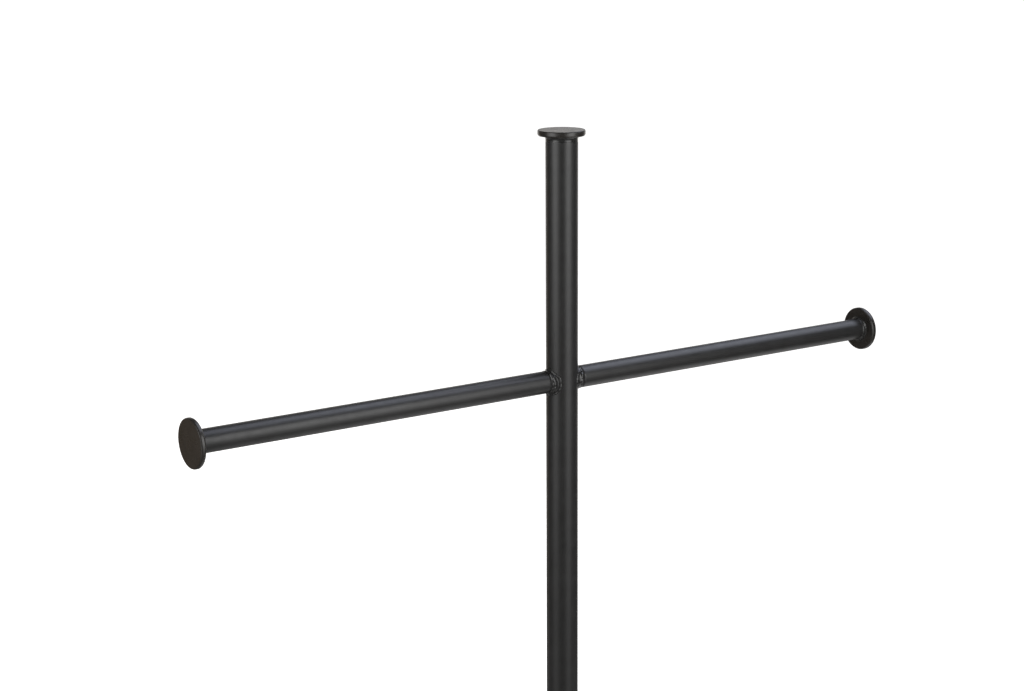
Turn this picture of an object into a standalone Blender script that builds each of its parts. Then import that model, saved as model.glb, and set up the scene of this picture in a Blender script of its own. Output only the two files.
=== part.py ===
"""Standing coat rack: a round steel post on a heavy disc base, with one straight cross-bar.

Metres, +Z up.  The origin is on the floor under the middle of the base; the cross-bar's two
arms run along X.  Each named object is one separate piece of the real rack.
"""
import bpy
import bmesh
from math import cos, pi, radians, sin
from mathutils import Matrix, Vector

# ---- driving dimensions ----
GAP = 0.0003                 # clearance kept between pieces that touch or are welded

TOTAL_HEIGHT = 1.750         # floor to the top of the post's end disc
ARM_HEIGHT = 1.500           # floor to the arms' axis
ARM_REACH = 0.406            # post axis to the outer face of an arm's end disc

POST_DIAMETER = 0.0318
ARM_DIAMETER = 0.0222
TUBE_WALL = 0.0015
ARM_ROOT_GAP = 0.0010        # the arm's square-cut end stands this far off the post's crest

END_DISC_DIAMETER = 0.046
END_DISC_THICKNESS = 0.005
END_DISC_EDGE = 0.0008       # chamfer round both faces

ARM_DISC_WELD = (0.0030, 0.0030)     # fillet legs: out along the disc, back along the tube
TOP_DISC_WELD = (0.0025, 0.0055)
SADDLE_TOE = 0.0035          # a saddle weld laps this far over the end of its arm
SADDLE_TOE_HEIGHT = 0.0008   # and stands this proud of the arm where it starts
SADDLE_END_HEIGHT = 0.0014   # and this proud over the arm's cut end
SADDLE_FLARE = 0.0034        # and this proud of the arm where it runs out on the post

BASE_DIAMETER = 0.400
BASE_THICKNESS = 0.010
BASE_EDGE = 0.0015

POST_JOINT_HEIGHT = 0.875    # where the lower post ends and the upper one begins
PLUG_LENGTH = 0.030
JOINT_STUD_DIAMETER = 0.010
JOINT_STUD_LENGTH = 0.050

BOLT_DIAMETER = 0.010
BOLT_HEAD_ACROSS_FLATS = 0.017
BOLT_HEAD_HEIGHT = 0.0064
BOLT_ENGAGEMENT = 0.020      # length of the bolt inside the foot plug
SPRING_WASHER = (0.0181, 0.0022)     # outside diameter, thickness
FLAT_WASHER = (0.0300, 0.0025)

FOOT_COUNT = 4
FOOT_CIRCLE_RADIUS = 0.165
FOOT_PAD_DIAMETER = 0.032
FOOT_PAD_HEIGHT = 0.005
FOOT_SOCKET_DIAMETER = 0.0086
FOOT_SOCKET_DEPTH = 0.003
FOOT_STUD_DIAMETER = 0.008
FOOT_STUD_PITCH = 0.00125
FOOT_STUD_LENGTH = 0.013     # threaded length above the hex collar
FOOT_COLLAR_ACROSS_FLATS = 0.013
FOOT_COLLAR_HEIGHT = 0.0035
FOOT_NUT_ACROSS_FLATS = 0.013
FOOT_NUT_HEIGHT = 0.0065
FOOT_TRAVEL = 0.006

# ---- heights that follow from them ----
COLLAR_BOTTOM = FOOT_PAD_HEIGHT + GAP
COLLAR_TOP = COLLAR_BOTTOM + FOOT_COLLAR_HEIGHT
NUT_BOTTOM = COLLAR_TOP + GAP
NUT_TOP = NUT_BOTTOM + FOOT_NUT_HEIGHT
BASE_BOTTOM = NUT_TOP + GAP
BASE_TOP = BASE_BOTTOM + BASE_THICKNESS
POST_BOTTOM = BASE_TOP + GAP
CAP_BOTTOM = TOTAL_HEIGHT - END_DISC_THICKNESS
POST_TOP = CAP_BOTTOM - GAP

POST_RADIUS = POST_DIAMETER / 2
POST_BORE = POST_RADIUS - TUBE_WALL
ARM_RADIUS = ARM_DIAMETER / 2
ARM_BORE = ARM_RADIUS - TUBE_WALL
ARM_START = POST_RADIUS + ARM_ROOT_GAP
ARM_END = ARM_REACH - END_DISC_THICKNESS - GAP

ALONG_MINUS_X = Matrix.Rotation(radians(-90), 4, 'Y')
ALONG_PLUS_X = Matrix.Rotation(radians(90), 4, 'Y')


# ---- scene, collections, materials ----
for old in list(bpy.data.objects):
    bpy.data.objects.remove(old, do_unlink=True)

rack = bpy.data.collections.new("standing_coat_rack")
cutters = bpy.data.collections.new("cutters")
for collection in (rack, cutters):
    bpy.context.scene.collection.children.link(collection)


def material(name, colour, roughness, metallic):
    made = bpy.data.materials.new(name)
    made.use_nodes = True
    shader = made.node_tree.nodes["Principled BSDF"]
    shader.inputs["Base Color"].default_value = (*colour, 1.0)
    shader.inputs["Roughness"].default_value = roughness
    shader.inputs["Metallic"].default_value = metallic
    made.diffuse_color = (*colour, 1.0)
    made.roughness, made.metallic = roughness, metallic
    return made


BLACK_TUBE = material("satin_black_powder_coat", (0.028, 0.028, 0.030), 0.42, 0.0)
BLACK_DISC = material("satin_black_powder_coat_disc", (0.033, 0.030, 0.027), 0.46, 0.0)
BLACK_WELD = material("satin_black_powder_coat_on_weld", (0.030, 0.030, 0.032), 0.32, 0.0)
ZINC = material("bright_zinc_plated_steel", (0.62, 0.63, 0.65), 0.30, 1.0)
BARE_STEEL = material("machined_steel", (0.48, 0.48, 0.47), 0.38, 1.0)
BLACK_NYLON = material("black_nylon", (0.020, 0.020, 0.020), 0.60, 0.0)


# ---- modelling helpers ----
def new_object(name, mesh, look=None, collection=rack):
    made = bpy.data.objects.new(name, mesh)
    collection.objects.link(made)
    if look is not None:
        mesh.materials.append(look)
    if collection is cutters:
        made.hide_render = True
        made.display_type = 'WIRE'
    return made


def turned(name, profile, look=None, steps=48, collection=rack, closed=True):
    """Turn a profile of (radius, height) points about Z.

    A closed profile goes down its outer side and back up its bore; an open one
    runs from the axis at the top to the axis at the bottom.
    """
    mesh = bpy.data.meshes.new(name)
    points = [(radius, 0.0, height) for radius, height in profile]
    edges = [(i, i + 1) for i in range(len(points) - 1)]
    if closed:
        edges.append((len(points) - 1, 0))
    mesh.from_pydata(points, edges, [])
    made = new_object(name, mesh, look, collection)
    screw = made.modifiers.new("turn", 'SCREW')
    screw.angle = 2 * pi
    screw.axis = 'Z'
    screw.steps = screw.render_steps = steps
    screw.use_merge_vertices = True
    screw.merge_threshold = 0.00001
    screw.use_smooth_shade = True
    return made


def tube(name, outer, inner, bottom, top, look, steps=48):
    return turned(name, [(outer, top), (outer, bottom), (inner, bottom), (inner, top)],
                  look, steps)


def disc_profile(radius, bottom, top, edge):
    return [(0, top), (radius - edge, top), (radius, top - edge),
            (radius, bottom + edge), (radius - edge, bottom), (0, bottom)]


def cylinder_cutter(name, radius, bottom, top, centre=(0, 0), steps=48):
    mesh = bpy.data.meshes.new(name)
    form = bmesh.new()
    bmesh.ops.create_cone(form, cap_ends=True, segments=steps, radius1=radius,
                          radius2=radius, depth=top - bottom)
    bmesh.ops.translate(form, verts=form.verts, vec=(*centre, (bottom + top) / 2))
    form.to_mesh(mesh)
    form.free()
    return new_object(name, mesh, None, cutters)


def hex_prism(name, across_flats, bottom, top, look=None, collection=rack):
    mesh = bpy.data.meshes.new(name)
    form = bmesh.new()
    corner = across_flats / 2 / cos(pi / 6)
    bmesh.ops.create_cone(form, cap_ends=True, segments=6, radius1=corner,
                          radius2=corner, depth=top - bottom)
    bmesh.ops.translate(form, verts=form.verts, vec=(0, 0, (bottom + top) / 2))
    form.to_mesh(mesh)
    form.free()
    return new_object(name, mesh, look, collection)


def boolean(target, other, operation):
    step = target.modifiers.new(operation.lower(), 'BOOLEAN')
    step.operation = operation
    step.object = other
    step.solver = 'EXACT'


# ---- base: the plate and what bolts the post to it ----
foot_places = [(FOOT_CIRCLE_RADIUS * cos(angle), FOOT_CIRCLE_RADIUS * sin(angle))
               for angle in (pi / 4 + i * 2 * pi / FOOT_COUNT for i in range(FOOT_COUNT))]

base_plate = turned("base_plate",
                    disc_profile(BASE_DIAMETER / 2, BASE_BOTTOM, BASE_TOP, BASE_EDGE),
                    BLACK_DISC, steps=96, closed=False)
boolean(base_plate,
        cylinder_cutter("cut_bolt_hole", BOLT_DIAMETER / 2 + 0.0005,
                        BASE_BOTTOM - 0.005, BASE_TOP + 0.005), 'DIFFERENCE')
STUD_TOP = COLLAR_TOP + FOOT_STUD_LENGTH
for number, place in enumerate(foot_places, 1):
    boolean(base_plate,
            cylinder_cutter(f"cut_stud_hole_{number}", FOOT_STUD_DIAMETER / 2 + 0.001,
                            BASE_BOTTOM - 0.005, STUD_TOP + 0.0012, place, 24),
            'DIFFERENCE')

tube("base_flat_washer", FLAT_WASHER[0] / 2, BOLT_DIAMETER / 2 + GAP,
     BASE_BOTTOM - GAP - FLAT_WASHER[1], BASE_BOTTOM - GAP, ZINC, 32)
washer_bottom = BASE_BOTTOM - GAP - FLAT_WASHER[1]
tube("base_spring_washer", SPRING_WASHER[0] / 2, BOLT_DIAMETER / 2 + GAP,
     washer_bottom - GAP - SPRING_WASHER[1], washer_bottom - GAP, ZINC, 32)
head_top = washer_bottom - GAP - SPRING_WASHER[1] - GAP

base_bolt = hex_prism("base_bolt", BOLT_HEAD_ACROSS_FLATS, head_top - BOLT_HEAD_HEIGHT,
                      head_top, ZINC)
boolean(base_bolt,
        cylinder_cutter("join_bolt_shank", BOLT_DIAMETER / 2, head_top - 0.002,
                        POST_BOTTOM + BOLT_ENGAGEMENT, steps=32), 'UNION')

# ---- post: two tubes, the plugs that close their meeting ends, and the stud between ----
tube("post_foot_plug", POST_BORE - GAP, BOLT_DIAMETER / 2 + GAP,
     POST_BOTTOM, POST_BOTTOM + PLUG_LENGTH, BARE_STEEL)
tube("post_lower", POST_RADIUS, POST_BORE, POST_BOTTOM, POST_JOINT_HEIGHT - GAP, BLACK_TUBE, 64)
tube("post_joint_socket", POST_BORE - GAP, JOINT_STUD_DIAMETER / 2 + GAP,
     POST_JOINT_HEIGHT - GAP - PLUG_LENGTH, POST_JOINT_HEIGHT - GAP, BARE_STEEL)
tube("post_upper", POST_RADIUS, POST_BORE, POST_JOINT_HEIGHT, POST_TOP, BLACK_TUBE, 64)
tube("post_joint_plug", POST_BORE - GAP, JOINT_STUD_DIAMETER / 2 + GAP,
     POST_JOINT_HEIGHT, POST_JOINT_HEIGHT + PLUG_LENGTH, BARE_STEEL)
turned("post_joint_stud",
       disc_profile(JOINT_STUD_DIAMETER / 2, POST_JOINT_HEIGHT - JOINT_STUD_LENGTH / 2,
                    POST_JOINT_HEIGHT + JOINT_STUD_LENGTH / 2, 0.001),
       ZINC, 32, closed=False)

# ---- top: end disc on the post and the fillet weld under it ----
turned("top_disc",
       disc_profile(END_DISC_DIAMETER / 2, CAP_BOTTOM, TOTAL_HEIGHT, END_DISC_EDGE),
       BLACK_DISC, closed=False)


def fillet_profile(tube_radius, face, legs):
    """Section of a hollow-faced weld between a tube's side and the disc it runs up to."""
    inner, (across, along) = tube_radius + GAP, legs
    return [(inner + across, face - GAP),
            (inner + 0.38 * across, face - GAP - 0.38 * along),
            (inner + 0.05 * across, face - GAP - along),
            (inner, face - GAP - along),
            (inner, face - GAP)]


turned("top_disc_weld", fillet_profile(POST_RADIUS, CAP_BOTTOM, TOP_DISC_WELD), BLACK_WELD)

# ---- arms: two tubes welded to the post, each closed by an end disc ----
SADDLE_DEPTH = 0.0095        # how near the post's axis the weld's rough ring is turned
post_space = cylinder_cutter("cut_post_space", POST_RADIUS + GAP, -0.03, 0.03, steps=64)
post_space.location.z = ARM_HEIGHT

for side, turn, sign in (("left", ALONG_MINUS_X, -1), ("right", ALONG_PLUS_X, 1)):
    arm = tube(f"arm_{side}", ARM_RADIUS, ARM_BORE, ARM_START, ARM_END, BLACK_TUBE)
    weld = turned(f"arm_{side}_weld",
                  [(ARM_RADIUS + SADDLE_TOE_HEIGHT, ARM_START + SADDLE_TOE),
                   (ARM_RADIUS + SADDLE_END_HEIGHT, ARM_START),
                   (ARM_RADIUS + SADDLE_FLARE, SADDLE_DEPTH),
                   (ARM_BORE, SADDLE_DEPTH),
                   (ARM_BORE, ARM_START - GAP),
                   (ARM_RADIUS + GAP, ARM_START - GAP),
                   (ARM_RADIUS + GAP, ARM_START + SADDLE_TOE)],
                  BLACK_WELD)
    disc = turned(f"arm_{side}_disc",
                  disc_profile(END_DISC_DIAMETER / 2, ARM_REACH - END_DISC_THICKNESS,
                               ARM_REACH, END_DISC_EDGE),
                  BLACK_DISC, closed=False)
    disc_weld = turned(f"arm_{side}_disc_weld",
                       fillet_profile(ARM_RADIUS, ARM_REACH - END_DISC_THICKNESS,
                                      ARM_DISC_WELD),
                       BLACK_WELD)
    for piece in (arm, weld, disc, disc_weld):
        piece.rotation_euler = turn.to_euler()
        piece.location.z = ARM_HEIGHT
    boolean(weld, post_space, 'DIFFERENCE')

# ---- levelling feet: weld nut, stud with hex collar, and the pad it stands in ----
for number, (x, y) in enumerate(foot_places, 1):
    nut = hex_prism(f"foot_nut_{number}", FOOT_NUT_ACROSS_FLATS, 0, FOOT_NUT_HEIGHT, ZINC)
    boolean(nut, cylinder_cutter(f"cut_nut_{number}", FOOT_STUD_DIAMETER / 2 + GAP,
                                 -0.003, FOOT_NUT_HEIGHT + 0.003, steps=24), 'DIFFERENCE')
    stud = hex_prism(f"foot_stud_{number}", FOOT_COLLAR_ACROSS_FLATS, 0,
                     FOOT_COLLAR_HEIGHT, ZINC)
    boolean(stud, cylinder_cutter(f"join_stud_thread_{number}", FOOT_STUD_DIAMETER / 2,
                                  0.001, FOOT_COLLAR_HEIGHT + FOOT_STUD_LENGTH, steps=24),
            'UNION')
    boolean(stud, cylinder_cutter(f"join_stud_heel_{number}",
                                  FOOT_SOCKET_DIAMETER / 2 - GAP,
                                  -FOOT_SOCKET_DEPTH, 0.001, steps=24), 'UNION')
    socket_floor = FOOT_PAD_HEIGHT - FOOT_SOCKET_DEPTH
    rim, socket = FOOT_PAD_DIAMETER / 2, FOOT_SOCKET_DIAMETER / 2
    pad = turned(f"foot_pad_{number}",
                 [(0, socket_floor), (socket, socket_floor), (socket, FOOT_PAD_HEIGHT),
                  (rim - 0.004, FOOT_PAD_HEIGHT), (rim, 0.003),
                  (rim, 0.0006), (rim - 0.0006, 0), (0, 0)],
                 BLACK_NYLON, 32, closed=False)
    for piece, height in ((nut, NUT_BOTTOM), (stud, COLLAR_BOTTOM), (pad, 0.0)):
        piece.location = Vector((x, y, height))
        for step in piece.modifiers:
            if step.type == 'BOOLEAN':
                step.object.location = piece.location
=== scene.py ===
"""Looks of the standing coat rack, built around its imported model.

The sections follow the rack as it is put together, from the base plate up to the disc on top,
and then the studio that it stands in. Lengths are in metres.
"""
from math import cos, exp, pi, radians, sin, sqrt, tan

import bpy
from mathutils import Matrix, Vector


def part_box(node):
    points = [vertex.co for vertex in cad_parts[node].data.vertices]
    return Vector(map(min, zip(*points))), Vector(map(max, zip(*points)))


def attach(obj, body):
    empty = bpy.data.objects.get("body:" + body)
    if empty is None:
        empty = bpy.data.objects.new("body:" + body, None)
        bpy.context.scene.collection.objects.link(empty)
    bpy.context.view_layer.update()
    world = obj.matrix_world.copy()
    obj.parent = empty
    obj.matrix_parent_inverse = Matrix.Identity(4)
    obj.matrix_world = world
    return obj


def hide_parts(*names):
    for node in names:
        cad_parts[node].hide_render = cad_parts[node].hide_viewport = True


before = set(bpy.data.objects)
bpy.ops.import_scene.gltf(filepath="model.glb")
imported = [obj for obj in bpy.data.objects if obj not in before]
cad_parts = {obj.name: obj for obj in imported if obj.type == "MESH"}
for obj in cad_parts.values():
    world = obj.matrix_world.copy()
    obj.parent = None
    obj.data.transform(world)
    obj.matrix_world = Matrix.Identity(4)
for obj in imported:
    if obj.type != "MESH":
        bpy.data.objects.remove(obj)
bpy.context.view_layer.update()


# ---- Base plate ---------------------------------------------------------------------------
# A round blank cut from 10 mm steel plate, its edge broken all round, powder coated satin
# black. Its weight keeps the rack standing when coats hang on one arm only.
rack = bpy.data.collections.new("coat_rack")
bpy.context.scene.collection.children.link(rack)


def eased(outline, radius, steps=5, ends=False):
    """The outline with each corner rounded off, and its two ends too if it is a closed ring."""
    most_of_a_side = 0.45
    last, rounded = len(outline) - 1, []
    for i, point in enumerate(outline):
        here = Vector(point)
        if not ends and i in (0, last):
            rounded.append(tuple(here))
            continue
        before, after = Vector(outline[i - 1]) - here, Vector(outline[(i + 1) % (last + 1)]) - here
        reach = min(radius, before.length * most_of_a_side, after.length * most_of_a_side)
        start, stop = here + before.normalized() * reach, here + after.normalized() * reach
        for k in range(steps + 1):
            t = k / steps
            bend = start * (1 - t) ** 2 + here * 2 * t * (1 - t) + stop * t * t
            rounded.append(tuple(bend))
    return rounded


def smooth_piece(name, points, faces, crease=35.0):
    """A smooth-shaded piece from points and faces, sharp where it turns by more than crease."""
    mesh = bpy.data.meshes.new(name)
    mesh.from_pydata(points, [], faces)
    mesh.validate()
    mesh.shade_smooth()
    mesh.set_sharp_from_angle(angle=radians(crease))
    piece = bpy.data.objects.new(name, mesh)
    rack.objects.link(piece)
    return piece


def round_piece(name, rows, ring=False, flat_ends=False, crease=35.0):
    """A piece from rows of (radius, height), each row once round Z; a row on the axis is one
    point. The rows run down the outer side: from the axis and back to it for a solid, on up
    the bore for a ring, or from one flat end to the other."""
    on_axis = 1e-7
    around, points, numbers, faces = len(rows[0]), [], [], []
    for row in rows:
        if row[0][0] < on_axis:
            numbers.append([len(points)] * around)
            points.append((0.0, 0.0, row[0][1]))
            continue
        numbers.append(list(range(len(points), len(points) + around)))
        for j, (radius, height) in enumerate(row):
            angle = 2 * pi * j / around
            points.append((radius * cos(angle), radius * sin(angle), height))
    for upper, lower in zip(numbers, numbers[1:] + numbers[:1] if ring else numbers[1:]):
        for j in range(around):
            k = (j + 1) % around
            corners = [upper[j], lower[j], lower[k], upper[k]]
            faces.append([corner for n, corner in enumerate(corners) if corner not in corners[:n]])
    if flat_ends:
        faces += [numbers[0], numbers[-1][::-1]]
    return smooth_piece(name, points, faces, crease)


def spun(name, outline, around=128, ring=False, shape=None, crease=35.0):
    """Turns an outline of (radius, height) points about Z. shape(radius, height, angle) may
    move each point."""
    angles = [2 * pi * j / around for j in range(around)]
    rows = [[shape(radius, height, angle) if shape else (radius, height) for angle in angles]
            for radius, height in outline]
    return round_piece(name, rows, ring=ring, crease=crease)


def new_finish(name):
    """A material, its node tree and its shader. Its grains are placed on the piece itself."""
    finish = bpy.data.materials.new(name)
    finish.use_nodes = True
    finish.node_tree.nodes.new("ShaderNodeTexCoord").name = "piece"
    return finish, finish.node_tree, finish.node_tree.nodes["Principled BSDF"]


def grain(tree, scale, detail=2, rough=0.5):
    """Noise all over a piece, with features of about 1/scale metres."""
    noise = tree.nodes.new("ShaderNodeTexNoise")
    noise.inputs["Scale"].default_value = scale
    noise.inputs["Detail"].default_value = detail
    noise.inputs["Roughness"].default_value = rough
    tree.links.new(tree.nodes["piece"].outputs["Object"], noise.inputs["Vector"])
    return noise.outputs["Fac"]


def spread(tree, value, low, high, span=(0, 1), smooth=False):
    """Takes a value that runs over span and makes it run from low to high."""
    made = tree.nodes.new("ShaderNodeMapRange")
    if smooth:
        made.interpolation_type = 'SMOOTHSTEP'
    for key, number in zip(("From Min", "From Max", "To Min", "To Max"), (*span, low, high)):
        made.inputs[key].default_value = number
    tree.links.new(value, made.inputs["Value"])
    return made.outputs["Result"]


def combined(tree, operation, one, other):
    """Adds or multiplies two values."""
    made = tree.nodes.new("ShaderNodeMath")
    made.operation = operation
    tree.links.new(one, made.inputs[0])
    tree.links.new(other, made.inputs[1])
    return made.outputs["Value"]


def relief(tree, height, strength, distance, under=None):
    """A grain as height in the surface, over the relief under it."""
    bump = tree.nodes.new("ShaderNodeBump")
    bump.inputs["Strength"].default_value = strength
    bump.inputs["Distance"].default_value = distance
    tree.links.new(height, bump.inputs["Height"])
    if under:
        tree.links.new(under, bump.inputs["Normal"])
    return bump.outputs["Normal"]


def powder_coat(name, dark, light, gloss, peel, mottle=1.0):
    """Black polyester powder, baked on: a faint orange peel, and a gloss that drifts a little."""
    coat, tree, shader = new_finish(name)
    shader.inputs["IOR"].default_value = 1.5
    middle = (0.3, 0.7)

    tone = tree.nodes.new("ShaderNodeMix")
    tone.data_type = 'RGBA'
    tree.links.new(spread(tree, grain(tree, 60, 5, 0.6), 0, 1, middle), tone.inputs["Factor"])
    tone.inputs["A"].default_value = (*dark, 1)
    tone.inputs["B"].default_value = (*light, 1)
    tree.links.new(tone.outputs["Result"], shader.inputs["Base Color"])

    drift = spread(tree, grain(tree, 150, 4, 0.6), -0.035 * mottle, 0.035 * mottle, middle)
    sparkle = spread(tree, grain(tree, 1400, 2), gloss - 0.02, gloss + 0.02, middle)
    tree.links.new(combined(tree, 'ADD', drift, sparkle), shader.inputs["Roughness"])

    waves = relief(tree, grain(tree, 130, 3), 0.55 * mottle, 0.00012)
    orange_peel = relief(tree, grain(tree, 900, 3), peel, 0.00004, under=waves)
    tree.links.new(orange_peel, shader.inputs["Normal"])
    return coat


PLATE_EDGE, PLATE_BOLT_HOLE = 0.0015, 0.0055
plate_low, plate_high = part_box("base_plate")
plate_radius, plate_under = plate_high[0], plate_low[2]
base_plate = spun("plate", eased([
    (plate_radius, plate_high[2]), (plate_radius, plate_under),
    (PLATE_BOLT_HOLE, plate_under), (PLATE_BOLT_HOLE, plate_high[2])], PLATE_EDGE, ends=True),
    around=256, ring=True)
flat_black = powder_coat("satin_black_on_flat_steel", (0.024, 0.020, 0.017),
                         (0.031, 0.027, 0.023), 0.44, 0.5)
base_plate.data.materials.append(flat_black)
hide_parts("base_plate")
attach(base_plate, "rack")


# ---- Bolt and washers under the plate -----------------------------------------------------
# One M10 hexagon bolt pulls the post down on the plate. It bears on a spring washer, which is
# a split ring, and a large flat washer; all three are bright zinc plated.
def cloudy(tree, value, dark, light, span):
    """A colour that drifts from dark to light over a span of the value."""
    ramp = tree.nodes.new("ShaderNodeValToRGB")
    for element, position, colour in zip(ramp.color_ramp.elements, span, (dark, light)):
        element.position = position
        element.color = (*colour, 1)
    tree.links.new(value, ramp.inputs["Fac"])
    return ramp.outputs["Color"]


def zinc_plate(name, tint, gloss):
    """Bright zinc: a cool grey metal with fine drawing lines and a faint cloudy drift."""
    metal, tree, shader = new_finish(name)
    shader.inputs["Metallic"].default_value = 1.0
    cloud = grain(tree, 220, 5)
    shade = [0.78 * part for part in tint]
    tree.links.new(cloudy(tree, cloud, shade, tint, (0.35, 0.65)), shader.inputs["Base Color"])
    tree.links.new(spread(tree, cloud, gloss - 0.07, gloss + 0.10), shader.inputs["Roughness"])
    scratches = relief(tree, grain(tree, 2600), 0.25, 0.00003)
    tree.links.new(scratches, shader.inputs["Normal"])
    return metal


def hexagonal(name, across, low, high, below=(), above=(), bore=None, around=96):
    """A hexagon between two heights with turned-off corners. below and above are outlines of
    round parts on its ends, given from the axis outwards; bore makes a plain hole instead."""
    flat, end_circle, corner_cut, lead = across / 2, across * 0.475, tan(radians(30)), 0.0003
    side = [flat / cos((2 * pi * j / around + pi / 6) % (pi / 3) - pi / 6)
            for j in range(around)]
    rows = [[(r, z)] * around for r, z in above]
    rows.append([(end_circle, high)] * around)
    rows.append([(s, high - (s - end_circle) * corner_cut) for s in side])
    rows.append([(s, low + (s - end_circle) * corner_cut) for s in side])
    rows.append([(end_circle, low)] * around)
    rows += [[(r, z)] * around for r, z in reversed(below)]
    if bore:
        rows += [[(bore + lead, low)] * around, [(bore, low + lead)] * around,
                 [(bore, high - lead)] * around, [(bore + lead, high)] * around]
    return round_piece(name, rows, ring=bool(bore), crease=25.0)


BOLT_HEX, BOLT_SHANK, BOLT_RUN_OUT = 0.017, 0.005, 0.0012
HEAD_DISH, DISH_DEPTH = 0.0068, 0.0004
HAIR = 0.0001  # how far touching pieces are kept apart, or sunk into each other
bright_zinc = zinc_plate("bright_zinc", (0.64, 0.66, 0.68), 0.32)
bolt_low, bolt_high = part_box("base_bolt")
split_low, split_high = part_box("base_spring_washer")
head_low, head_high = bolt_low[2], split_low[2] - HAIR
bolt = hexagonal("bolt", BOLT_HEX, head_low, head_high,
                 below=[(0, head_low + DISH_DEPTH),
                        (HEAD_DISH - DISH_DEPTH, head_low + DISH_DEPTH), (HEAD_DISH, head_low)],
                 above=[(0, bolt_high[2]), (BOLT_SHANK - BOLT_RUN_OUT, bolt_high[2]),
                        (BOLT_SHANK, bolt_high[2] - BOLT_RUN_OUT), (BOLT_SHANK, head_high)])
bolt.data.materials.append(bright_zinc)
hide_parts("base_bolt")
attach(bolt, "rack")

FLAT_WASHER_HOLE, FLAT_WASHER_EDGE = 0.0054, 0.0004
flat_low, flat_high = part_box("base_flat_washer")
flat_washer = spun("flat_washer", eased([
    (flat_high[0], plate_under), (flat_high[0], flat_low[2]),
    (FLAT_WASHER_HOLE, flat_low[2]), (FLAT_WASHER_HOLE, plate_under)],
    FLAT_WASHER_EDGE, ends=True), around=96, ring=True)
flat_washer.data.materials.append(bright_zinc)
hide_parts("base_flat_washer")
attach(flat_washer, "rack")

SPLIT_WASHER_HOLE, SPLIT_OPENING, SPLIT_TWIST = 0.0053, radians(7), 0.0002
split_top, split_under = split_high[2] - SPLIT_TWIST, split_low[2] + SPLIT_TWIST
points, faces, turns = [], [], 90
for j in range(turns + 1):
    share = j / turns
    angle = SPLIT_OPENING / 2 + share * (2 * pi - SPLIT_OPENING)
    lift = SPLIT_TWIST * (share - 0.5)
    for r, z in ((split_high[0], split_top), (split_high[0], split_under),
                 (SPLIT_WASHER_HOLE, split_under), (SPLIT_WASHER_HOLE, split_top)):
        points.append((r * cos(angle), r * sin(angle), z + lift))
    if j:
        a, b = 4 * (j - 1), 4 * j
        faces += [[a + n, a + (n + 1) % 4, b + (n + 1) % 4, b + n] for n in range(4)]
faces += [[3, 2, 1, 0], [4 * turns + n for n in range(4)]]
spring_washer = smooth_piece("spring_washer", points, faces)
spring_washer.data.materials.append(bright_zinc)
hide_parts("base_spring_washer")
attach(spring_washer, "rack")


# ---- Levelling feet -----------------------------------------------------------------------
# Each is an M8 stud with a hexagon collar, screwed up into a nut that a bead of weld holds
# under the plate. The stud's heel turns in the socket of a moulded nylon pad, which doesn't.
STUD_RADIUS, STUD_PITCH, THREAD_DEPTH, CORE_RADIUS = 0.004, 0.00125, 0.00055, 0.0032
HEEL_RADIUS, HEEL_EDGE, FOOT_HEX, COLLAR_GAP = 0.0040, 0.0005, 0.013, 0.0003
PAD_SOCKET, SOCKET_FLOOR, PAD_LIP, LIP_RISE = 0.0043, 0.0021, 0.0062, 0.0006
PAD_FLAT, PAD_SHOULDER, SHOULDER_FALL, PAD_WALL = 0.0085, 0.0035, 0.0008, 0.0029
PAD_EDGE, SOLE_FLAT, SOLE_RIM, SOLE_HOLLOW = 0.0008, 0.0012, 0.0045, 0.0004
NUT_CLEARANCE, NUT_WELD_ROOT = 0.0002, 0.0063


def moulded_nylon(name):
    """Black nylon straight from the mould: matt, finely sparked, with a few paler scuffs."""
    nylon, tree, shader = new_finish(name)
    scuff = grain(tree, 700, 6)
    tree.links.new(cloudy(tree, scuff, (0.016, 0.016, 0.017), (0.030, 0.030, 0.029),
                          (0.45, 0.8)), shader.inputs["Base Color"])
    tree.links.new(spread(tree, scuff, 0.5, 0.7), shader.inputs["Roughness"])
    tree.links.new(relief(tree, grain(tree, 4000), 0.4, 0.00005), shader.inputs["Normal"])
    return nylon


def thread_rows(low, high, around, rings_a_turn=8):
    """Rows of (radius, height) round a right-hand thread, from its top down. The top turn
    runs out to a blunt lead."""
    rows = []
    count = int((high - low) / STUD_PITCH * rings_a_turn)
    for i in range(count + 1):
        z = high - (high - low) * i / count
        lead = 0.86 + 0.14 * min(1.0, (high - z) / STUD_PITCH + 0.15)
        row = []
        for j in range(around):
            flank = abs((z / STUD_PITCH - j / around) % 1.0 * 2 - 1)
            row.append((STUD_RADIUS * lead - THREAD_DEPTH * min(1.0, flank * 1.25), z))
        rows.append(row)
    return rows


def ripple(turns, v, curve):
    """Height of the crescent ripples of a weld run, 0 to 1, steep on the side laid last."""
    crest = 0.8
    phase = (turns + curve * (v - 0.5) ** 2) % 1.0
    return phase ** 1.6 if phase < crest else (crest ** 1.6) * (1 - phase) / (1 - crest)


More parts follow.
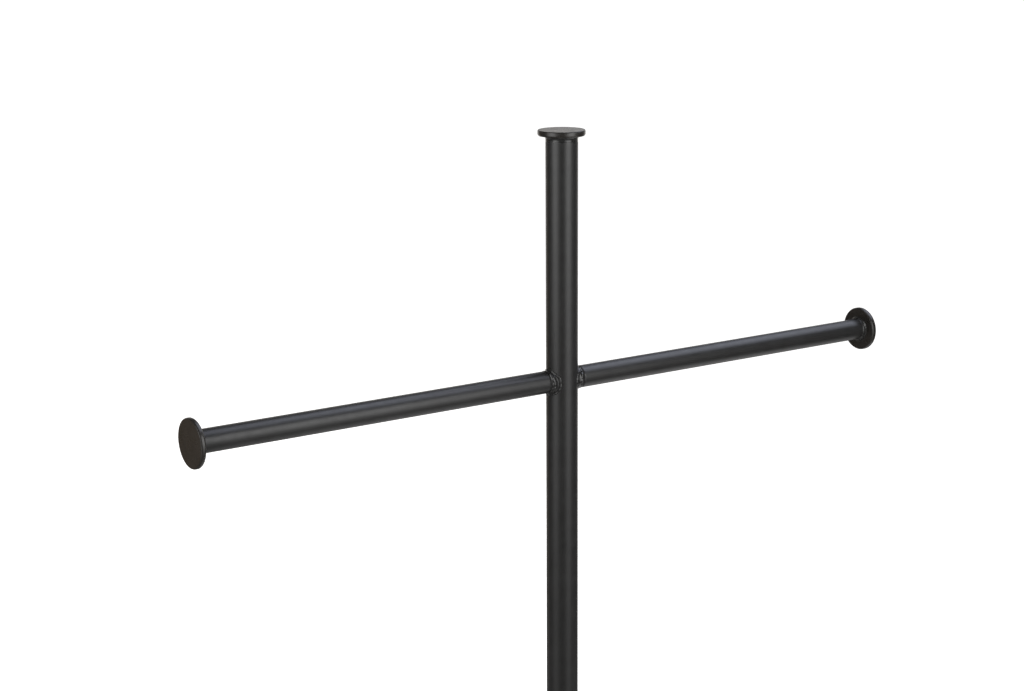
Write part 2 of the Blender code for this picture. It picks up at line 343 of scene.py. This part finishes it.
def fillet(name, tube_radius, face, across, along, ripples, start, hollow=2.1,
           around=300, raised=0.00022):
    """A hollow fillet weld from a tube's side out along a disc, with a wandering toe."""
    steps, root = 18, 0.0004
    outline = []
    for n in range(steps + 1):
        t = n / steps
        outline.append((tube_radius + across * (1 - t) ** hollow, face - along * t ** 0.85, t))
    shares = {round(z, 9): t for r, z, t in outline}

    def rippled(radius, height, angle):
        t = shares.get(round(height, 9))
        if t is None:
            return radius, height
        wander = sin(3 * angle + start) + 0.6 * sin(8 * angle + 2 * start)
        body = min(1.0, (1 - t) * 9, t * 6)
        beat = ripple(angle / (2 * pi) * ripples + 0.08 * wander, t, 1.8)
        return (radius + raised * body * (0.35 + beat) + 0.00005 * wander * body,
                height + 0.00025 * wander * t)

    section = [(r, z) for r, z, t in outline]
    inner = tube_radius - root
    return spun(name, section + [(inner, face - along), (inner, face)], around=around, ring=True,
                shape=rippled, crease=70.0)


foot_nylon = moulded_nylon("foot_nylon")
weld_black = powder_coat("satin_black_over_weld", (0.0125, 0.0122, 0.0118),
                         (0.019, 0.0186, 0.018), 0.18, 0.7, mottle=0.9)
for number in range(1, 5):
    pad_low, pad_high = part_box(f"foot_pad_{number}")
    centre = [(pad_low[n] + pad_high[n]) / 2 for n in (0, 1)]
    rim, pad_top = (pad_high[0] - pad_low[0]) / 2, pad_high[2]
    outline = [(0, SOCKET_FLOOR), (PAD_SOCKET, SOCKET_FLOOR)]
    outline += eased([
        (PAD_SOCKET, SOCKET_FLOOR + HAIR), (PAD_SOCKET, pad_top), (PAD_LIP, pad_top),
        (PAD_LIP + LIP_RISE, pad_top - LIP_RISE), (PAD_FLAT, pad_top - LIP_RISE),
        (rim - PAD_SHOULDER, pad_top - SHOULDER_FALL), (rim, PAD_WALL), (rim, 0),
        (rim - SOLE_FLAT, 0)], PAD_EDGE)
    outline += [(rim - SOLE_RIM, 0), (rim - SOLE_RIM - 0.0005, SOLE_HOLLOW), (0, SOLE_HOLLOW)]
    pad = spun(f"pad_{number}", outline, around=96)
    pad.data.materials.append(foot_nylon)
    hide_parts(f"foot_pad_{number}")

    stud_low, stud_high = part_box(f"foot_stud_{number}")
    nut_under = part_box(f"foot_nut_{number}")[0][2]
    heel, end, core_swell = stud_low[2], stud_high[2], 0.0004
    collar_low, collar_high = pad_top + COLLAR_GAP, nut_under - COLLAR_GAP
    stud_around = 48
    stud = hexagonal(f"stud_{number}", FOOT_HEX, collar_low, collar_high,
                     below=[(0, heel), (HEEL_RADIUS - HEEL_EDGE, heel),
                            (HEEL_RADIUS, heel + HEEL_EDGE), (HEEL_RADIUS, collar_low)],
                     above=[(0, end), (CORE_RADIUS, end),
                            (CORE_RADIUS + core_swell, collar_high)],
                     around=stud_around)
    stud.data.materials.append(bright_zinc)
    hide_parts(f"foot_stud_{number}")
    thread = round_piece(f"stud_thread_{number}",
                         thread_rows(collar_high, end - HAIR, stud_around),
                         flat_ends=True, crease=60.0)
    thread.data.materials.append(bright_zinc)

    weld_face = plate_under + HAIR
    nut = hexagonal(f"nut_{number}", FOOT_HEX, nut_under, weld_face,
                    bore=STUD_RADIUS + NUT_CLEARANCE)
    nut.data.materials.append(bright_zinc)
    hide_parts(f"foot_nut_{number}")
    bead = fillet(f"nut_weld_{number}", NUT_WELD_ROOT, weld_face, across=0.0024, along=0.0018,
                  ripples=12, start=0.9 * number, around=120)
    bead.data.materials.append(weld_black)
    for piece, body in ((pad, f"foot_{number}_pad"), (stud, f"foot_{number}_stud"),
                        (thread, f"foot_{number}_stud"), (nut, "rack"), (bead, "rack")):
        piece.location = (*centre, 0)
        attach(piece, body)


# ---- Plugs and joint stud inside the post -------------------------------------------------
# Turned steel plugs are welded into the foot of the post and into its two meeting ends, and a
# zinc plated M10 stud screws the upper tube on to the lower one. They show only on taking
# the rack apart, so their plain turned shapes stay and only get their metals.
turned_steel = zinc_plate("turned_steel", (0.50, 0.50, 0.49), 0.40)
for node, metal in (("post_foot_plug", turned_steel), ("post_joint_socket", turned_steel),
                    ("post_joint_plug", turned_steel), ("post_joint_stud", bright_zinc)):
    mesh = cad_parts[node].data
    mesh.materials.clear()
    mesh.materials.append(metal)


# ---- Post ---------------------------------------------------------------------------------
# Two lengths of 31.8 mm round steel tube with a 1.5 mm wall, one screwed on to the other. The
# meeting ends are faced square and lightly broken, so a hairline shows where they touch.
POST_BORE, POST_EDGE, BORE_EDGE, COAT = 0.0144, 0.0004, 0.0002, 0.00015
tube_black = powder_coat("satin_black_on_tube", (0.0115, 0.0112, 0.0108),
                         (0.0165, 0.0162, 0.0158), 0.38, 0.45)
joint_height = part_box("post_upper")[0][2]
top_low, top_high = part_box("top_disc")
post_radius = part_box("post_upper")[1][0] + COAT
for name, node, low, high in (
        ("lower_post", "post_lower", plate_high[2], joint_height - HAIR / 2),
        ("upper_post", "post_upper", joint_height + HAIR / 2, top_low[2])):
    lengths = 24
    side = [(post_radius, high - (high - low) * i / lengths) for i in range(1, lengths)]
    outline = [(POST_BORE, high)]
    outline += eased([(POST_BORE + BORE_EDGE, high), (post_radius, high), side[0]], POST_EDGE)
    outline += side[1:-1]
    outline += eased([side[-1], (post_radius, low), (POST_BORE + BORE_EDGE, low)], POST_EDGE)
    outline += [(POST_BORE, low)]
    tube = spun(name, outline, around=160, ring=True)
    tube.data.materials.append(tube_black)
    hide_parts(node)
    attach(tube, "rack")


# ---- Arms ---------------------------------------------------------------------------------
# Two lengths of 22.2 mm tube, cut square, that butt against the post on one line. Coat
# hangers and coats go on them.
ARM_BORE = 0.0096
arm_height = sum(corner[2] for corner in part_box("arm_left")) / 2
arm_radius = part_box("arm_left")[1][2] - arm_height + COAT
arm_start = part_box("arm_right")[0][0]
arm_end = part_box("arm_right_disc")[0][0]
WELD_TOE, UNDERCUT, GROOVE = arm_start + 0.0033, 0.0008, 0.0025
SIDES = (("left", Matrix.Rotation(radians(-90), 4, 'Y')),
         ("right", Matrix.Rotation(radians(90), 4, 'Y')))


def laid_along(piece, turn):
    """Turns a piece made about Z down along its arm, and puts it at the arms' height."""
    piece.data.transform(Matrix.Translation((0, 0, arm_height)) @ turn)


for side_name, turn in SIDES:
    bend = 0.6 if side_name == "left" else 2.2

    def melted_back(radius, height, angle):
        """The weld has eaten a shallow groove into the tube along its toe."""
        if radius < arm_radius - HAIR:
            return radius, height
        toe = WELD_TOE + 0.00012 * sin(3 * angle + bend) + 0.00008 * sin(8 * angle + bend)
        past = max(0.0, min(1.0, (toe + GROOVE - HAIR - height) / GROOVE))
        return radius - UNDERCUT * past ** 3.2, height

    plain_end, lengths, fine_length = WELD_TOE + 0.0028, 15, 0.00018
    rows = [arm_end - (arm_end - plain_end) * i / lengths for i in range(1, lengths + 1)]
    rows += [plain_end - fine_length * i for i in range(1, 19)]
    arm = spun(f"{side_name}_arm", [(ARM_BORE, arm_end), (arm_radius, arm_end)]
               + [(arm_radius, row) for row in rows] + [(arm_radius, arm_start)]
               + [(ARM_BORE, arm_start)], around=160, ring=True, shape=melted_back)
    laid_along(arm, turn)
    arm.data.materials.append(tube_black)
    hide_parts(f"arm_{side_name}")
    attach(arm, "rack")


# ---- Saddle welds -------------------------------------------------------------------------
# The square end of each arm leaves a gap beside the round post, and the weld fills it: one
# heavy run on the end of the tube and a thinner one on the post, both left rippled.
def hump(v, middle, width, power=2):
    """A rounded rise across the weld, 1 at its middle."""
    return exp(-abs((v - middle) / width) ** power)


def mound(turns, v, curve):
    """Where the torch paused: soft crescents along a run, 0 to 1."""
    return abs(sin(pi * (turns + curve * (v - 0.5) ** 2))) ** 1.3


# Beside the arm both welds reach 2.3 mm out along the post, and above and below it less far.
# The left one then sags further down, and the right one gets a little more on its thin upper
# side. The light run keeps only its share of height above and below the arm.
LEG_BESIDE = 0.0023
SADDLES = {"left": {"start": 0.37, "leg": 0.0018, "further": 0.0018, "light_share": 0.54},
           "right": {"start": 1.93, "leg": 0.0005, "further": 0.0004, "light_share": 0.15}}
CREST_RISE, HEAVY_RISE, LIGHT_RISE, VALLEY, HOLLOW = 0.0008, 0.0012, 0.00065, 0.00045, 0.0009
for side_name, turn in SIDES:
    start, leg_above, further, light_share = SADDLES[side_name].values()
    around, across = 480, 44
    points, faces, row_length = [], [], across + 4
    for i in range(around):
        round_run = i / around
        u = 2 * pi * i / around
        beside = abs(sin(u))
        wander = (0.5 * sin(3 * u + start) + 0.3 * sin(7 * u + 2.1 * start)
                  + 0.2 * sin(13 * u + 0.7 * start))
        leg = (leg_above + (LEG_BESIDE - leg_above) * beside ** 0.8 + 0.00025 * sin(5 * u + start)
               + further * max(0.0, -cos(u)))
        edge_y = (arm_radius + leg) * sin(u)
        foot = Vector((sqrt(post_radius ** 2 - edge_y ** 2) - HAIR, arm_radius + leg))
        head = Vector((WELD_TOE - 0.0004, arm_radius - UNDERCUT - 2 * HAIR))
        chord = foot - head
        outward = Vector((chord.y, -chord.x)).normalized()
        if outward.y < 0:
            outward = -outward
        full = 0.15 + 0.85 * beside
        foot_full = light_share + (1 - light_share) * beside
        for n in range(across + 1):
            v = n / across
            beat = (0.5 * mound(round_run * 15 + 0.25 * wander, v, 1.2)
                    + 0.15 * ripple(round_run * 45 + 0.2 * wander, v, 2.2))
            beat_light = mound(round_run * 19 + 0.5 + 0.3 * wander, v, 1.6)
            heavy = hump(v, 0.27 + 0.03 * wander, 0.16, 3) * (0.55 + 0.15 * wander + beat)
            light = hump(v, 0.87, 0.08, 3) * (0.5 + 0.15 * wander + 0.6 * beat_light)
            rise = (CREST_RISE * (1 - exp(-v / 0.03)) * (1 - v)
                    - HOLLOW * (1 - beside) * sin(pi * v)
                    + full * (HEAVY_RISE * heavy - VALLEY * hump(v, 0.63, 0.10))
                    + foot_full * LIGHT_RISE * light)
            here = head + chord * v + outward * rise
            points.append((here.y * sin(u), -here.y * cos(u), here.x))
        # Its hidden back, inside the post and the wall of the tube.
        for x, r in ((foot.x - 0.0008, foot.y - 0.0012), (arm_start - 0.0004, arm_radius - 0.0013),
                     (arm_start + 0.0002, arm_radius - 0.0012)):
            points.append((r * sin(u), -r * cos(u), x))
        this, after = i * row_length, (i + 1) % around * row_length
        for n in range(row_length):
            m = (n + 1) % row_length
            faces.append([this + n, this + m, after + m, after + n])
    weld = smooth_piece(f"{side_name}_saddle_weld", points, faces, 70.0)
    laid_along(weld, turn @ Matrix.Rotation(radians(90), 4, 'Z'))
    weld.data.materials.append(weld_black)
    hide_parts(f"arm_{side_name}_weld")
    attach(weld, "rack")


# ---- Discs and their welds ----------------------------------------------------------------
# Flat 46 mm steel discs close the arms and the top of the post, and stop coats sliding off.
# Each is welded on from behind, all round the tube; the left one went on low and askew.
DISC_BEVEL, DISC_BACK = (0.0005, 0.0012), (0.0009, 0.0014)
DISC_LARGER, LEFT_DROP, LEFT_ASKEW, TOP_SHIFT = 0.0003, 0.00045, radians(1.9), 0.0003
disc_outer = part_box("arm_right_disc")[1][0]
disc_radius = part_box("arm_right_disc")[1][2] - arm_height + 2 * COAT
disc_black = powder_coat("satin_black_on_disc", (0.0130, 0.0115, 0.0100),
                         (0.0190, 0.0170, 0.0150), 0.30, 0.5, mottle=1.3)


def disc_outline(radius, low, high):
    """Down the outer side of a disc: a filed bevel outside, a broken edge on the weld side."""
    halfway, near_edge, corner = radius * 0.5, radius * 0.9, 0.0003
    return [(0, high), (halfway, high)] + eased([
        (near_edge, high), (radius - DISC_BEVEL[0], high), (radius, high - DISC_BEVEL[1]),
        (radius, low + DISC_BACK[1]), (radius - DISC_BACK[0], low), (near_edge, low)],
        corner, steps=3) + [(halfway, low), (0, low)]


for side_name, turn in SIDES:
    larger, weld_start = (DISC_LARGER, 0.8) if side_name == "left" else (0, 2.6)
    outline = disc_outline(disc_radius + larger, arm_end - 2 * COAT,
                           disc_outer + 2 * COAT - 2 * larger)
    disc = spun(f"{side_name}_disc", outline, around=160)
    disc.data.materials.append(disc_black)
    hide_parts(f"arm_{side_name}_disc")
    ring = fillet(f"{side_name}_disc_weld", arm_radius, arm_end, across=0.0030, along=0.0030,
                  ripples=30, start=weld_start)
    ring.data.materials.append(weld_black)
    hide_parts(f"arm_{side_name}_disc_weld")
    for piece in (disc, ring):
        laid_along(piece, turn)
    if side_name == "left":
        hub = Matrix.Translation((-arm_end, 0, 0))
        for piece in (disc, ring):
            piece.data.transform(hub @ Matrix.Rotation(LEFT_ASKEW, 4, 'Z') @ hub.inverted())
        disc.location = (0, 0, -LEFT_DROP)
    for piece in (disc, ring):
        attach(piece, "rack")

top_disc = spun("end_disc_on_post", disc_outline(disc_radius + 2 * COAT, top_low[2],
                                                 top_high[2] + 4 * COAT), around=160)
top_disc.location = (-TOP_SHIFT, 0, 0)
top_disc.data.materials.append(disc_black)
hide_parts("top_disc")
top_weld = fillet("weld_under_end_disc", post_radius, top_low[2], across=0.0019, along=0.0055,
                  ripples=26, start=1.4, hollow=4.0, raised=0.00008)
top_weld.data.materials.append(weld_black)
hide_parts("top_disc_weld")
for piece in (top_disc, top_weld):
    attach(piece, "rack")


# ---- Studio -------------------------------------------------------------------------------
# A white floor that runs on behind the rack, two upright softboxes either side of the camera,
# two cool ones overhead, a white and a warm wall behind, panels on the floor that show only in
# the gloss, and a long lens that looks down on the arms.
CAMERA_AT, LENS = (-1.11619, -1.59238, arm_height + 0.48979), 70.38
CAMERA_TURN, CAMERA_TILT, CAMERA_ROLL = radians(33.5614), radians(13.1612), radians(-0.3901)
camera = bpy.data.objects.new("camera", bpy.data.cameras.new("camera"))
bpy.context.scene.collection.objects.link(camera)
camera.data.sensor_width = 36
camera.data.sensor_fit = 'HORIZONTAL'
camera.data.lens = LENS
camera.data.clip_end = 200
level_right = Vector((cos(CAMERA_TURN), -sin(CAMERA_TURN), 0))
ahead = Vector((sin(CAMERA_TURN) * cos(CAMERA_TILT), cos(CAMERA_TURN) * cos(CAMERA_TILT),
                -sin(CAMERA_TILT)))
level_up = level_right.cross(ahead)
right = level_right * cos(CAMERA_ROLL) + level_up * sin(CAMERA_ROLL)
up = level_up * cos(CAMERA_ROLL) - level_right * sin(CAMERA_ROLL)
camera.matrix_world = Matrix.Translation(CAMERA_AT) @ Matrix(
    (right, up, -ahead)).transposed().to_4x4()
bpy.context.scene.camera = camera
bpy.context.scene.view_settings.view_transform = 'Standard'

# The floor glows a little, so that it stays white, and is clear when looked at from below.
FLOOR_REACH = 80
floor_mesh = bpy.data.meshes.new("floor")
floor_mesh.from_pydata([(-FLOOR_REACH, -FLOOR_REACH, 0), (FLOOR_REACH, -FLOOR_REACH, 0),
                        (FLOOR_REACH, FLOOR_REACH, 0), (-FLOOR_REACH, FLOOR_REACH, 0)], [],
                       [[0, 1, 2, 3]])
floor = bpy.data.objects.new("floor", floor_mesh)
bpy.context.scene.collection.objects.link(floor)
floor_white = bpy.data.materials.new("floor_white")
floor_white.use_nodes = True
nodes, links = floor_white.node_tree.nodes, floor_white.node_tree.links
paint = nodes["Principled BSDF"]
for key, value in (("Base Color", (0.85, 0.85, 0.85, 1)), ("Roughness", 0.9),
                   ("Specular IOR Level", 0.1), ("Emission Color", (1, 1, 1, 1)),
                   ("Emission Strength", 0.80)):
    paint.inputs[key].default_value = value
side_seen = nodes.new("ShaderNodeNewGeometry")
clear, one_sided = nodes.new("ShaderNodeBsdfTransparent"), nodes.new("ShaderNodeMixShader")
links.new(side_seen.outputs["Backfacing"], one_sided.inputs["Fac"])
links.new(paint.outputs["BSDF"], one_sided.inputs[1])
links.new(clear.outputs["BSDF"], one_sided.inputs[2])
links.new(one_sided.outputs["Shader"], nodes["Material Output"].inputs["Surface"])
floor_mesh.materials.append(floor_white)
floor.visible_glossy = False

# The room is white behind the rack, dim where it lights it, and dark in its reflections.
world = bpy.data.worlds.new("studio")
bpy.context.scene.world = world
world.use_nodes = True
nodes, links = world.node_tree.nodes, world.node_tree.links
nodes.clear()
path = nodes.new("ShaderNodeLightPath")
pale, dim, dark = [nodes.new("ShaderNodeBackground") for n in range(3)]
for ground, strength in ((pale, 1.0), (dim, 0.36), (dark, 0.056)):
    ground.inputs["Color"].default_value = (1, 1, 1, 1)
    ground.inputs["Strength"].default_value = strength
first, second = nodes.new("ShaderNodeMixShader"), nodes.new("ShaderNodeMixShader")
out = nodes.new("ShaderNodeOutputWorld")
links.new(path.outputs["Is Glossy Ray"], first.inputs["Fac"])
links.new(dim.outputs["Background"], first.inputs[1])
links.new(dark.outputs["Background"], first.inputs[2])
links.new(path.outputs["Is Camera Ray"], second.inputs["Fac"])
links.new(first.outputs["Shader"], second.inputs[1])
links.new(pale.outputs["Background"], second.inputs[2])
links.new(second.outputs["Shader"], out.inputs["Surface"])


def softbox(name, place, aim, up, width, tall, colour, low, high, side=1.0, grade=(-0.5, 0.5)):
    """A glowing panel at place that faces aim. It goes from low to high along up, over the
    grade's shares of its length, and falls to side times that at its two sides."""
    forward = (Vector(aim) - Vector(place)).normalized()
    upward = Vector(up)
    upward = (upward - forward * upward.dot(forward)).normalized()
    sideways = upward.cross(forward)
    w, t = width / 2, tall / 2
    panel = bpy.data.meshes.new(name)
    panel.from_pydata([(-w, -t, 0), (w, -t, 0), (w, t, 0), (-w, t, 0)], [], [[0, 1, 2, 3]])
    lamp = bpy.data.objects.new(name, panel)
    bpy.context.scene.collection.objects.link(lamp)
    lamp.matrix_world = Matrix.Translation(place) @ Matrix(
        (sideways, upward, forward)).transposed().to_4x4()
    glow, tree, shader = new_finish(name)
    parts = tree.nodes.new("ShaderNodeSeparateXYZ")
    tree.links.new(tree.nodes["piece"].outputs["Object"], parts.inputs["Vector"])
    rise = spread(tree, parts.outputs["Y"], low, high, (grade[0] * tall, grade[1] * tall),
                  smooth=True)
    middle = tree.nodes.new("ShaderNodeMath")
    middle.operation = 'ABSOLUTE'
    tree.links.new(parts.outputs["X"], middle.inputs[0])
    fall = spread(tree, middle.outputs["Value"], 1, side, (w * 0.3, w), smooth=True)
    light = tree.nodes.new("ShaderNodeEmission")
    light.inputs["Color"].default_value = (*colour, 1)
    tree.links.new(combined(tree, 'MULTIPLY', rise, fall), light.inputs["Strength"])
    tree.links.new(light.outputs["Emission"], tree.nodes["Material Output"].inputs["Surface"])
    tree.nodes.remove(shader)
    panel.materials.append(glow)
    lamp.visible_camera = False
    lamp.visible_shadow = False
    lamp.visible_diffuse = not name.startswith("floor")


def from_camera(aside, distance, height):
    """A place so many degrees to the right of the camera, as seen from the post."""
    turn = CAMERA_TURN - radians(aside)
    return (-distance * sin(turn), -distance * cos(turn), height)


SOFTBOX_HEIGHT, WALL_HEIGHT, FAR = 1.42, 2.4, 4.3
UPWARDS, ALONG_ARMS, ACROSS_ARMS, WHITE = (0, 0, 1), (1, 0, 0), (0, 1, 0), (1, 1, 1)
for name, aside, width, strength in (("softbox_left", -48, 1.1, 0.95),
                                     ("softbox_right", 46, 1.0, 1.12)):
    softbox(name, from_camera(aside, 1.1, SOFTBOX_HEIGHT), (0, 0, SOFTBOX_HEIGHT), UPWARDS,
            width=width, tall=1.9, colour=WHITE, low=0.62 * strength, high=3.4 * strength,
            side=0.2, grade=(-0.28, 0.18))
softbox("softbox_over", (0.76, -0.05, 2.7), (0.10, 0, 1.5), ALONG_ARMS,
        width=1.3, tall=1.4, colour=(0.81, 0.85, 1.0), low=2.9, high=3.1, side=0.7)
softbox("softbox_over_right", (1.75, 1.5, 2.7), (0.3, 0, 1.5), ALONG_ARMS,
        width=1.2, tall=1.0, colour=(0.82, 0.86, 1.0), low=0.45, high=0.45)
softbox("back_wall", from_camera(180, 4.0, WALL_HEIGHT), (0, 0, WALL_HEIGHT), UPWARDS,
        width=10.0, tall=4.8, colour=(1.0, 0.97, 0.93), low=1.5, high=0.25, side=0.15)
softbox("floor_under_plate", (0, 0, 0.004), (0, 0, 2.0), ALONG_ARMS,
        width=0.5, tall=0.5, colour=WHITE, low=0.9, high=0.9)
softbox("floor_near", (1.1, 0.15, 0.012), (1.1, 0.15, 2.0), ALONG_ARMS,
        width=1.9, tall=1.5, colour=WHITE, low=0.80, high=1.0, side=0.8)
softbox("warm_wall", (-1.5, 3.6, 0.55), (-0.4, 0, 1.5), UPWARDS,
        width=1.7, tall=1.4, colour=(1.0, 0.66, 0.34), low=0.20, high=0.20, side=0.6)
softbox("floor_far", from_camera(180, FAR, 0.01), from_camera(180, FAR, 2.0), ACROSS_ARMS,
        width=8.0, tall=4.6, colour=WHITE, low=0.30, high=0.30, side=0.8)
